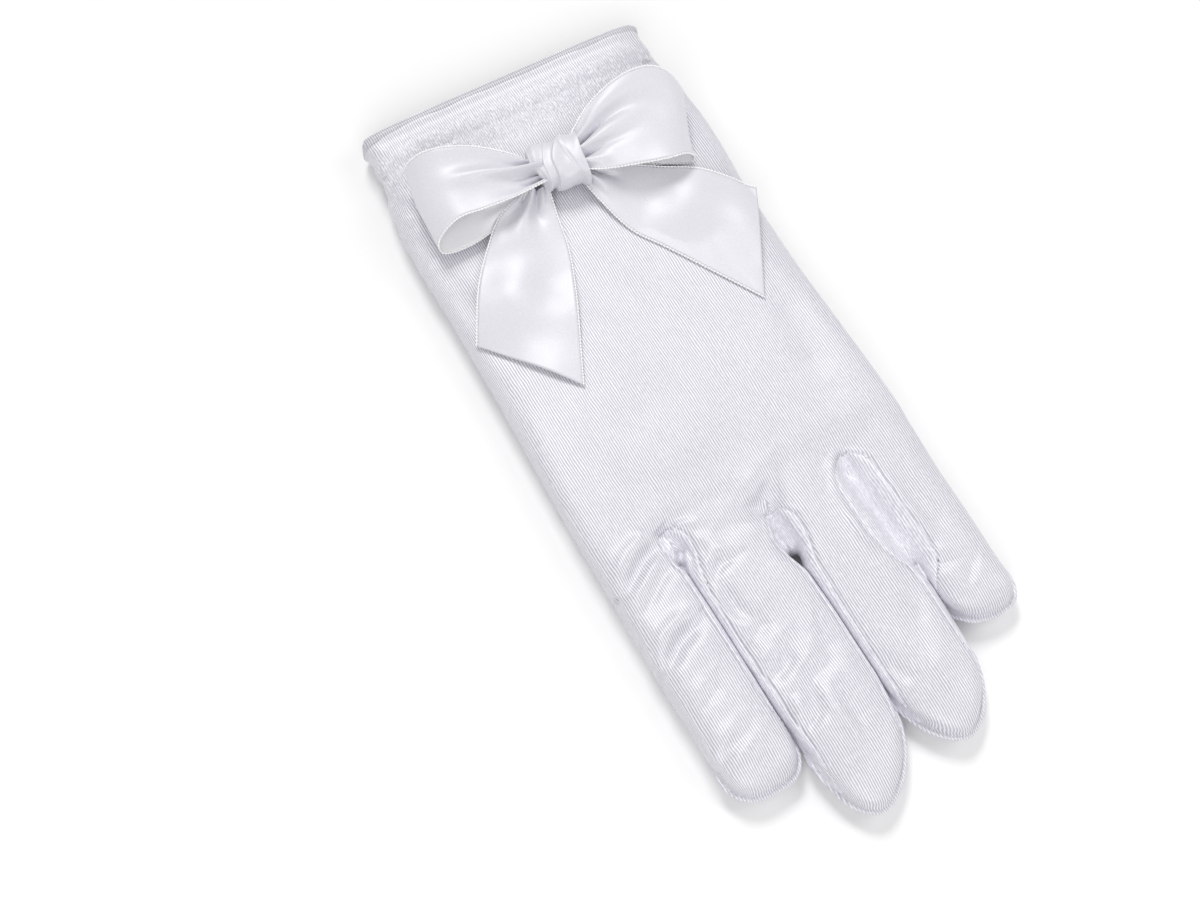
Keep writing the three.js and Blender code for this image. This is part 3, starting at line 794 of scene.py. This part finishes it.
def satin_material(name, pitch=0.6, rib=0.035, contrast=0.64, light=1.0):
    """White stretch satin: fine wavy ribs along the hand, broken into bright and dim threads, whose colour
    holds painted shade and painted glints.
    """
    finish = Finish(name, 0.9, 0.15, 0.35)
    place = finish.nodes.new("ShaderNodeAttribute")
    place.attribute_name = "rib_place"
    across = finish.add(finish.noise(*WANDER), 1.3, place.outputs["Fac"])
    across = finish.add(finish.noise(*RIPPLE), 0.42, across)
    wave = finish.maths("SINE", finish.maths("MULTIPLY", across, 2 * pi / pitch))
    threads = finish.noise(*THREADS)
    creases, creased = puckers(finish)
    strength = finish.add(finish.noise(*PATCHES), 0.5, 0.4)
    strength = finish.maths("MULTIPLY", strength, finish.add(creased, -0.6, 1.0))
    ribs = finish.maths("MULTIPLY", wave, strength)
    height = finish.add(threads, 0.35, ribs)
    finish.relief(finish.add(creases, 4.5, height), 0.8, rib)
    # The colour follows the ribs and threads: painted shade in the grooves, painted glints on the threads.
    tone = finish.add(ribs, contrast, finish.add(threads, 0.7, 0.15))
    # Painted shade darkens the crinkled band by the stitching, and painted highlights brighten the crease
    # lines.
    tone = finish.add(creased, -0.06, tone)
    tone = finish.add(creases, 0.3, tone)
    # The light factor scales all the colours: below 1 it is painted shade, above 1 painted light.
    finish.colours(tone, [(at, tuple(light * part for part in shade)) for at, shade in SATIN_PAINTED_TONES])
    finish.feed(finish.look["Roughness"], finish.between(threads, (0.3, 0.7), (0.30, 0.44)))
    return finish.material


def ribbon_material(name, low=(0.69, 0.686, 0.737), high=(0.745, 0.74, 0.788)):
    """White satin ribbon: smooth, with a fine sparkle of threads painted into its colour as glints, and a
    soft wide gloss.
    """
    finish = Finish(name, 0.85, 0.1)
    threads = finish.noise(*RIBBON_THREADS)
    finish.relief(finish.add(finish.noise(*RIBBON_SOFT), 2.5, threads), 0.4, 0.04)
    # Lighter flecks on the threads are painted glints.
    finish.colours(threads, [(0.35, low), (0.65, high)])
    finish.feed(finish.look["Roughness"], finish.between(threads, to=(0.36, 0.45)))
    return finish.material


def floor_material():
    finish = Finish("pale_floor")
    finish.colours(finish.noise(*FLOOR_MOTTLE), [(0.3, (0.93, 0.93, 0.93)), (0.7, (0.95, 0.95, 0.95))])
    finish.look["Roughness"].default_value = 0.9
    return finish.material


SATIN = satin_material("satin_cloth")
# The strips' satin is lighter than the hand's: painted light against the shade between the fingers.
STRIP_SATIN_LIT = satin_material("satin_strip_painted_light", pitch=0.62, rib=0.025, contrast=0.34, light=1.12)
# The hem's satin is darker: painted shade for the rolled edge turning away from the light.
HEM_SATIN_SHADED = satin_material("satin_hem_painted_shade", light=0.8)
RIBBON_SATIN = ribbon_material("ribbon_satin")
# The reverse side is much lighter: painted light for the glow inside the loops.
RIBBON_BACK_LIT = ribbon_material("ribbon_reverse_painted_light", (0.87, 0.865, 0.89), (0.91, 0.905, 0.925))
# The edging's loops are lighter than the ribbon: painted light on them.
EDGING_LIT = ribbon_material("ribbon_edging_painted_light", (0.93, 0.928, 0.94), (0.97, 0.968, 0.975))


def add_trank_and_strips():
    points, faces = joined_skin(SKIN_VOXEL)
    points, field, places = shaped(points, faces, SKIN_ROUNDS)
    trank_faces, strips = [], [[] for _ in PARTINGS]
    for face in faces:
        if sum(field[i] for i in face) <= 0:
            trank_faces.append(face)
        else:
            x = sum(points[i][0] for i in face) / len(face)
            strips[int(np.argmin(np.abs(np.array(PARTED_AT) - x)))].append(face)
    cloth_piece("glove_trank", "trank", points, trank_faces, SATIN, places)
    for (left, right), group in zip(PARTINGS, strips):
        node = f"fourchette_{left}_{right}"
        thicken(cloth_piece(f"{node}_cloth", node, points, group, STRIP_SATIN_LIT, places), STRIP_THICK, -1)
    add_tip_rims(points, nearest_finger(points)[0])


def thicken(piece, thickness, offset):
    thick = piece.modifiers.new("thickness", "SOLIDIFY")
    thick.thickness = thickness * MM
    thick.offset = offset
    return thick


def cloth_piece(name, node, points, faces, material, places):
    """A piece of only the points that its faces use, each with its place across the ribs of the cloth."""
    used = sorted({i for face in faces for i in face})
    index = {old: new for new, old in enumerate(used)}
    piece = new_piece(name, points[used], [[index[i] for i in face] for face in faces], material)
    kept = piece.data.attributes.new("rib_place", "FLOAT", "POINT")
    kept.data.foreach_set("value", np.asarray(places[used], np.float32))
    take_place(piece, node)
    return piece


def tip_rim(points, which, number, finger):
    """The outermost points of a fingertip at its seam's height, in order round the tip."""
    start = finger.tip[1] + finger.tip_length
    centre = np.array([np.mean(finger_sides(finger, start)), start])
    level = np.abs(points[:, 2] - finger.high * RIM_MIDDLE) < 0.7
    mine = points[(which == number) & level]
    away = mine[:, :2] - centre
    angle = np.degrees(np.arctan2(away[:, 0], -away[:, 1]))
    out = []
    for middle in np.arange(-86, 90, 4.0):
        near = np.abs(angle - middle) < 4
        if near.any():
            out.append(mine[near][np.argmax(np.hypot(*away[near].T))])
    out = np.array(out)
    for _ in range(3):
        out[1:-1] = (out[:-2] + 2 * out[1:-1] + out[2:]) / 4
    return out


def steps_along(line):
    """How far along a line each of its points lies."""
    return np.concatenate([[0], np.cumsum(np.linalg.norm(np.diff(line, axis=0), axis=1))])


def spread_evenly(line, count):
    """Count points evenly along a line, and how far along it each lies."""
    steps = steps_along(line)
    s = np.linspace(0, steps[-1], count)
    return np.stack([np.interp(s, steps, line[:, k]) for k in range(3)], 1), s


def level_side(path):
    """The direction to the side of a path at each point, along the way, and the way itself."""
    along = np.gradient(path, axis=0)
    along /= np.linalg.norm(along, axis=1)[:, None]
    side = np.cross(along, (0, 0, 1.0))
    return side / np.maximum(np.linalg.norm(side, axis=1), 1e-6)[:, None], along


def tube(path, side, over, sides):
    """The points of a tube round a path, whose half width and half height are the vectors side and over."""
    angle = angles(sides)
    out = np.cos(angle)[None, :, None] * side[:, None, :] + np.sin(angle)[None, :, None] * over[:, None, :]
    return (path[:, None, :] + out).reshape(-1, 3)


def add_tip_rims(points, which):
    """The thin stitched lip that closes each fingertip."""
    rims, faces = [], []
    for number, finger in enumerate(FINGERS.values()):
        path, s = spread_evenly(tip_rim(points, which, number, finger), RIM.rings)
        ends = np.sqrt(smooth(s / 4) * smooth((s[-1] - s) / 4))
        stitches = 1 + RIM.swell * np.cos(2 * pi * s / RIM.stitch)
        high = (RIM.high * ends + RIM.thread) * stitches
        side = level_side(path)[0] * (RIM.wide * ends + RIM.thread)[:, None]
        faces += loft_faces(len(s), RIM.sides, sum(len(rim) for rim in rims))
        rims.append(tube(path, side, high[:, None] * np.array([0, 0, 1.0]), RIM.sides))
    rims = np.concatenate(rims)
    # The rims take the strips' lighter satin, with its painted light.
    cloth_piece("fingertip_seams", "trank", rims, faces, STRIP_SATIN_LIT, rims[:, 0])


def add_lining():
    points, faces = joined_skin(LINING_VOXEL)
    points, _, places = shaped(points, faces, LINING_ROUNDS)
    points = points - normals_of(points, faces) * LINING_DEPTH
    cloth_piece("glove_inside", "trank", points, [face[::-1] for face in faces], SATIN, places)


def back_top(x, y):
    left, right = hand_sides(y)
    across = np.minimum(0.97, np.abs(x - (left + right) / 2) / ((right - left) / 2))
    up = (1 - across**HAND_POWER) ** (1 / HAND_POWER)
    return HAND_HIGH / 2 * (1 + up) + thumb_lift(x, y) * BACK_SHARE


# The ribbons' two edges, from the knot on: x, y and z of the edge nearer the cuff, then of the other one.
# The tails give the height over the back of the glove as their z.
EDGES = {
    "bow_loop_index": [
        (-3.3, 75.6, 18.6, -3.8, 68.9, 18.2), (-7.8, 78.9, 20.5, -12.9, 68.3, 20.0),
        (-15.2, 84.5, 22.0, -21.1, 68.8, 21.3), (-23.0, 88.3, 22.0, -27.1, 69.7, 21.3),
        (-29.2, 90.3, 20.0, -31.6, 69.3, 19.5), (-33.0, 89.9, 16.8, -35.0, 68.0, 16.5),
        (-31.4, 88.5, 13.8, -34.7, 66.3, 13.9), (-23.5, 88.5, 13.2, -30.1, 65.1, 13.2),
        (-12.6, 84.8, 13.2, -22.8, 65.3, 13.4), (-2.6, 76.7, 14.0, -7.6, 69.5, 14.0),
    ],
    "bow_loop_little": [
        (7.4, 76.2, 18.6, 6.0, 68.0, 18.2), (16.0, 81.3, 21.0, 11.7, 64.0, 19.5),
        (25.6, 83.9, 22.0, 18.6, 61.0, 20.5), (33.4, 83.8, 21.5, 25.8, 58.5, 20.5),
        (37.7, 81.1, 20.0, 30.4, 58.3, 19.0), (39.3, 76.2, 16.5, 32.7, 58.2, 15.7),
        (37.9, 75.6, 13.7, 31.3, 58.6, 13.3), (30.9, 76.7, 13.2, 26.1, 61.1, 13.2),
        (21.0, 77.3, 13.2, 18.1, 64.8, 13.2), (9.4, 76.0, 14.0, 7.9, 69.1, 14.0),
    ],
    "bow_tail_index": [
        (-10.0, 70.6, 3.2, -3.4, 69.3, 3.0), (-17.5, 67.6, 3.4, -5.0, 61.5, 1.9),
        (-24.0, 62.0, 2.8, -7.2, 52.0, 1.2), (-31.2, 54.0, 1.8, -12.0, 40.0, 0.8),
        (-39.1, 41.0, 0.9, -22.6, 17.8, 0.6),
    ],
    "bow_tail_little": [
        (7.6, 68.8, 3.6, 5.4, 67.0, 2.8), (15.8, 65.0, 3.5, 6.9, 59.5, 1.3),
        (24.5, 60.0, 3.4, 9.6, 49.3, 1.0), (33.6, 54.1, 3.0, 15.4, 39.5, 0.8),
        (43.1, 44.6, 2.2, 28.6, 16.8, 0.6),
    ],
}
# Pleats of the ribbons: where across the ribbon each one starts and ends, how far it stands out or, below 0,
# goes in, its width, its reach along the ribbon, how much it widens, and the place along where it starts.
PLEATS = {
    "bow_loop_index": [
        (0.42, 0.46, -2.8, 0.06, 0.46, 1.2, 0.0), (0.20, 0.22, 1.7, 0.13, 0.5, 1.2, 0.0),
        (0.70, 0.72, 1.5, 0.15, 0.46, 1.2, 0.0), (0.5, 0.5, 0.9, 0.2, 0.3, 1.2, 1.0),
    ],
    "bow_loop_little": [
        (0.34, 0.28, -2.6, 0.05, 0.38, 1.2, 0.0), (0.64, 0.60, -1.5, 0.045, 0.32, 0.8, 0.0),
        (0.14, 0.10, 1.4, 0.10, 0.45, 1.2, 0.0), (0.48, 0.46, 1.3, 0.09, 0.36, 1.2, 0.0),
        (0.40, 0.45, -1.3, 0.22, 0.22, 0.2, 0.30), (0.5, 0.5, 0.9, 0.2, 0.3, 1.2, 1.0),
    ],
    "bow_tail_index": [
        (0.82, 0.70, -1.8, 0.06, 0.30, 1.0, 0.0), (0.50, 0.34, -1.9, 0.07, 0.62, 1.8, 0.0),
        (0.66, 0.60, 1.5, 0.09, 0.60, 1.6, 0.0), (0.18, 0.12, 1.2, 0.12, 0.7, 1.2, 0.0),
        (0.45, 0.50, -0.9, 0.24, 0.3, 0.2, 0.78),
    ],
    "bow_tail_little": [
        (0.22, 0.34, -1.9, 0.05, 0.36, 1.4, 0.0), (0.55, 0.62, 1.3, 0.12, 0.55, 1.2, 0.0),
        (0.78, 0.88, -0.9, 0.07, 0.4, 1.2, 0.0), (0.45, 0.50, -1.0, 0.22, 0.35, 0.2, 0.6),
    ],
}


def curve_through(rows, side, count):
    """Evenly spread points on a smooth curve through one edge of the rows."""
    p = np.array(rows)[:, 3 * side : 3 * side + 3]
    p = np.concatenate([2 * p[:1] - p[1:2], p, 2 * p[-1:] - p[-2:-1]])
    out = []
    for u in np.linspace(0, len(rows) - 1, count):
        i = min(int(u), len(rows) - 2)
        t = u - i
        a, b, c, d = p[i : i + 4]
        bend = (2 * a - 5 * b + 4 * c - d) * t**2 + (3 * b - a - 3 * c + d) * t**3
        out.append(0.5 * (2 * b + (c - a) * t + bend))
    return np.array(out)


def pleated(pleats, t, across):
    """How far the pleats lift a ribbon at the places t along it and across it."""
    lift = np.zeros((len(t), len(across)))
    for start, to, depth, width, reach, spread, end in pleats:
        away = smooth(np.abs(t - end) / reach)
        centre, wide = start + (to - start) * away, width * (1 + spread * away)
        lift += (depth * (1 - away))[:, None] * bell(across[None, :] - centre[:, None], wide[:, None])
    return lift


def ribbon_grid(rows, pleats, drape):
    """The middle surface of a ribbon as a grid of points, gathered and pleated at the knot."""
    a, b = (curve_through(rows, side, RIBBON_STEPS + 1) for side in (0, 1))
    across = np.linspace(0, 1, RIBBON_SPANS + 1)
    grid = a[:, None, :] * (1 - across)[None, :, None] + b[:, None, :] * across[None, :, None]
    out = np.cross(np.gradient(grid, axis=1), np.gradient(grid, axis=0))
    out /= np.maximum(np.linalg.norm(out, axis=2), 1e-9)[:, :, None]
    t = np.linspace(0, 1, RIBBON_STEPS + 1)
    gather = 1 - smooth(t / GATHER.reach) + (not drape) * (1 - smooth((1 - t) / GATHER.reach))
    waves = np.cos(2 * pi * GATHER.waves * across + 0.6)
    loose = WAVE.at_knot + smooth(t / 0.3)[:, None] * (WAVE.tail if drape else WAVE.loop)
    wave = noise(grid[:, :, 0], grid[:, :, 1], WAVE.scale, 5.3 + rows[0][0])
    lift = pleated(pleats, t, across) + gather[:, None] * GATHER.high * waves[None, :]
    grid = grid + out * (lift + loose * WAVE.high * wave)[:, :, None]
    back = back_top(grid[:, :, 0], grid[:, :, 1])
    if drape:
        grid[:, :, 2] += back
    grid[:, :, 2] = np.maximum(grid[:, :, 2], back + RIBBON_CLEAR)
    return grid


def edging_piece(name, grid):
    """The tiny woven loops along a ribbon's two edges, as beads on a thread."""
    points, faces = [], []
    for edge, inner in ((0, 1), (-1, -2)):
        outward = grid[:, edge] - grid[:, inner]
        outward /= np.maximum(np.linalg.norm(outward, axis=1), 1e-6)[:, None]
        line = grid[:, edge] + outward * PICOT.out + np.array([0, 0, PICOT.up])
        path, s = spread_evenly(line, int(steps_along(line)[-1] / PICOT.pitch * PICOT.rings))
        side, along = level_side(path)
        radius = (PICOT.radius + PICOT.swell * np.cos(2 * pi * s / PICOT.pitch))[:, None]
        faces += loft_faces(len(s), PICOT.sides, sum(len(part) for part in points))
        points.append(tube(path, side * radius, np.cross(side, along) * radius, PICOT.sides))
    return new_piece(name, np.concatenate(points), faces, EDGING_LIT)


def add_bow():
    """Two loops and two tails of one ribbon."""
    for node, rows in EDGES.items():
        loop = "loop" in node
        grid = ribbon_grid(rows, PLEATS[node], drape=not loop)
        faces = band_faces(*grid.shape[:2], around=False)
        if node.endswith("index"):
            faces = [face[::-1] for face in faces]
        ribbon = new_piece(f"{node}_ribbon", grid.reshape(-1, 3), faces, RIBBON_SATIN)
        # The reverse side, inside the loops, takes the lighter satin with its painted light.
        ribbon.data.materials.append(RIBBON_BACK_LIT)
        thick = thicken(ribbon, RIBBON_THICK, 0)
        thick.material_offset = 1
        thick.material_offset_rim = 0
        edging = edging_piece(f"{node}_edging", grid)
        take_place(ribbon, node)
        take_place(edging, node)


def knot_form(s, angle):
    """The knot's radius as a share, at s from -1 to 1 along it and at angles round it."""
    c = np.cos(angle)
    fold = -0.12 + 0.22 * c + 0.10 * np.sin(3 * angle)
    over = 0.13 * smooth((s - fold) / 0.06) - 0.05 * smooth((s - fold) / 0.9)
    under = -0.55 + 0.22 * c
    over = over + 0.05 * smooth((s - under) / 0.05) - 0.05 * smooth((s - under) / 0.3)
    crease = 0.05 * bell(s - 0.42 + 0.3 * c, 0.07) + 0.03 * np.cos(7 * s + 2.5 * angle)
    end = 1 - 0.16 * smooth((-0.75 - s) / 0.25) + 0.05 * smooth((s - 0.6) / 0.4) - 0.30 * (s > 0.985)
    return 0.84 * end + over - crease


def add_knot():
    """The band round the middle of the bow: the ribbon wound over it, with one fold lying over the other."""
    angle = angles(KNOT.sides)
    c, q = np.cos(angle), np.sin(angle)
    round_off = (np.abs(c) ** KNOT.power + np.abs(q) ** KNOT.power) ** (-1 / KNOT.power)
    near = smooth(-c)
    points = []
    for s in np.linspace(-1, 1, KNOT.rings):
        radius = round_off * knot_form(s, angle)
        reach = s * (1 - 0.38 * near) if s < 0 else s * (0.92 + 0.12 * near)
        x, y = turned(KNOT, KNOT.half_length * reach, KNOT.half_width * radius * c)
        points.append(ring(x, y, KNOT.z + KNOT.half_height * radius * q))
    take_place(new_piece("bow_knot_ribbon", *lofted(points), RIBBON_SATIN), "bow_knot")


def add_thumb():
    """The thumb, folded in flat under the palm."""
    across, up = superellipse(THUMB_SIDES, THUMB_POWER)
    points, places = [], []
    for d in THUMB_RINGS:
        wide = sqrt(max(0.02, 1 - max(0.0, (9 - d) / 9) ** 2))
        wide *= max(0.06, 1 - max(0.0, (d - 41) / 16) ** 2.2) ** (1 / 2.2)
        side = across * (THUMB.half_width - 0.3) * wide
        high = THUMB.half_high * (0.55 + 0.45 * wide)
        z = THUMB.middle + up * high * (1 - 0.16 * bell(side - 2.5, 1.2))
        z = z + 0.10 * noise(side + 40, np.full(THUMB_SIDES, d), 4.0, 9.0) * np.sign(up)
        x, y = turned(THUMB, side, -d)
        points.append(ring(x, y, np.clip(z, 0.03, THUMB.top)))
        places.append(side)
    cloth_piece("thumb_cloth", "thumb", *lofted(points), SATIN, np.concatenate(places))


# The turned-in edge of the cuff: how far outside the skin each line of it runs, and how far below the edge.
HEM_PROFILE = [
    (-0.10, 2.6), (0.12, 2.0), (0.42, 1.3), (0.45, 0.7), (0.20, 0.15),
    (-0.35, -0.12), (-0.95, 0.1), (-1.35, 0.8), (-1.4, 4.0), (-1.4, 8.0),
    (-1.4, 12.0), (-1.2, 12.6), (-0.95, 12.3), (-0.9, 6.0), (-0.6, 2.5),
]


def add_hem():
    """The cuff's edge, rolled over and stitched down inside."""
    across, up = superellipse(HEM_SIDES, hand_power(CUFF_Y))
    points = []
    for outside, below in HEM_PROFILE:
        left, right = hand_sides(CUFF_Y - below)
        out = outside - 0.5 * smooth((1.6 - below) / 1.6)
        x = (left + right) / 2 + across * ((right - left) / 2 + out)
        y = cuff_at(x) - below
        crinkle = noise(x * 1.2 + up * 7, y, 1.6, 15.0) * smooth((below - 7) / 5) * 0.18
        z = HAND_HIGH / 2 + up * (HAND_HIGH / 2 + out + crinkle) - 0.12
        points.append(ring(x, y, np.maximum(z, 0.02)))
    points = np.concatenate(points)
    faces = band_faces(len(HEM_PROFILE), HEM_SIDES, closed=True)
    cloth_piece("cuff_hem_band", "cuff_hem", points, faces, HEM_SATIN_SHADED, rib_place(points))


def add_floor():
    far = FLOOR_REACH
    corners = [(-far, -far, 0), (far, -far, 0), (far, far, 0), (-far, far, 0)]
    new_piece("floor", corners, [(0, 1, 2, 3)], floor_material())


# The camera, at the photo's angle: it looks down from the fingers' side and a little from the left.
CAMERA = Values(azimuth=-30.0, elevation=65.0, lens=85.0, sensor=36.0, distance=694.2)
TARGET = (-24.75, 5.77, 0.0)


def add_camera():
    az, el = radians(CAMERA.azimuth), radians(CAMERA.elevation)
    right = Vector((cos(az), sin(az), 0))
    back = Vector((sin(az) * cos(el), -cos(az) * cos(el), sin(el)))
    up = back.cross(right)
    camera = bpy.data.objects.new("camera", bpy.data.cameras.new("camera"))
    camera.data.lens = CAMERA.lens
    camera.data.sensor_width = CAMERA.sensor
    turn = Matrix((right, up, back)).transposed().to_4x4()
    camera.matrix_world = Matrix.Translation((Vector(TARGET) + back * CAMERA.distance) * MM) @ turn
    scene.collection.objects.link(camera)
    scene.camera = camera
    return right, up


# Each light: how far right of the glove, cuffwards and up it stands, in metres, its size, and its power.
LIGHTS = {
    "key": (-0.8, 2.5, 3.6, 1.6, 82),
    "front": (-0.1, -1.5, 1.3, 1.6, 15),
    "side": (1.5, 0.2, 1.6, 1.2, 8),
}
SURROUND = 0.45


def add_lights(right, up):
    """A soft light from beyond the cuff, weaker ones from the front and the side, and a pale surround."""
    middle = Vector((0, 0, 0.01))
    cuffwards = Vector((up.x, up.y, 0)).normalized()
    for name, (to_right, to_cuff, above, size, power) in LIGHTS.items():
        light = bpy.data.lights.new(name, "AREA")
        light.shape = "DISK"
        light.size = size
        light.energy = power
        lamp = bpy.data.objects.new(name, light)
        lamp.location = middle + right * to_right + cuffwards * to_cuff + Vector((0, 0, above))
        lamp.rotation_euler = (middle - lamp.location).to_track_quat("-Z", "Y").to_euler()
        scene.collection.objects.link(lamp)
    world = bpy.data.worlds.new("studio")
    world.use_nodes = True
    world.node_tree.nodes["Background"].inputs["Color"].default_value = (1, 1, 1, 1)
    world.node_tree.nodes["Background"].inputs["Strength"].default_value = SURROUND
    scene.world = world
    scene.view_settings.view_transform = "Standard"


add_lights(*add_camera())
add_floor()
add_trank_and_strips()
add_lining()
add_hem()
add_thumb()
add_bow()
add_knot()
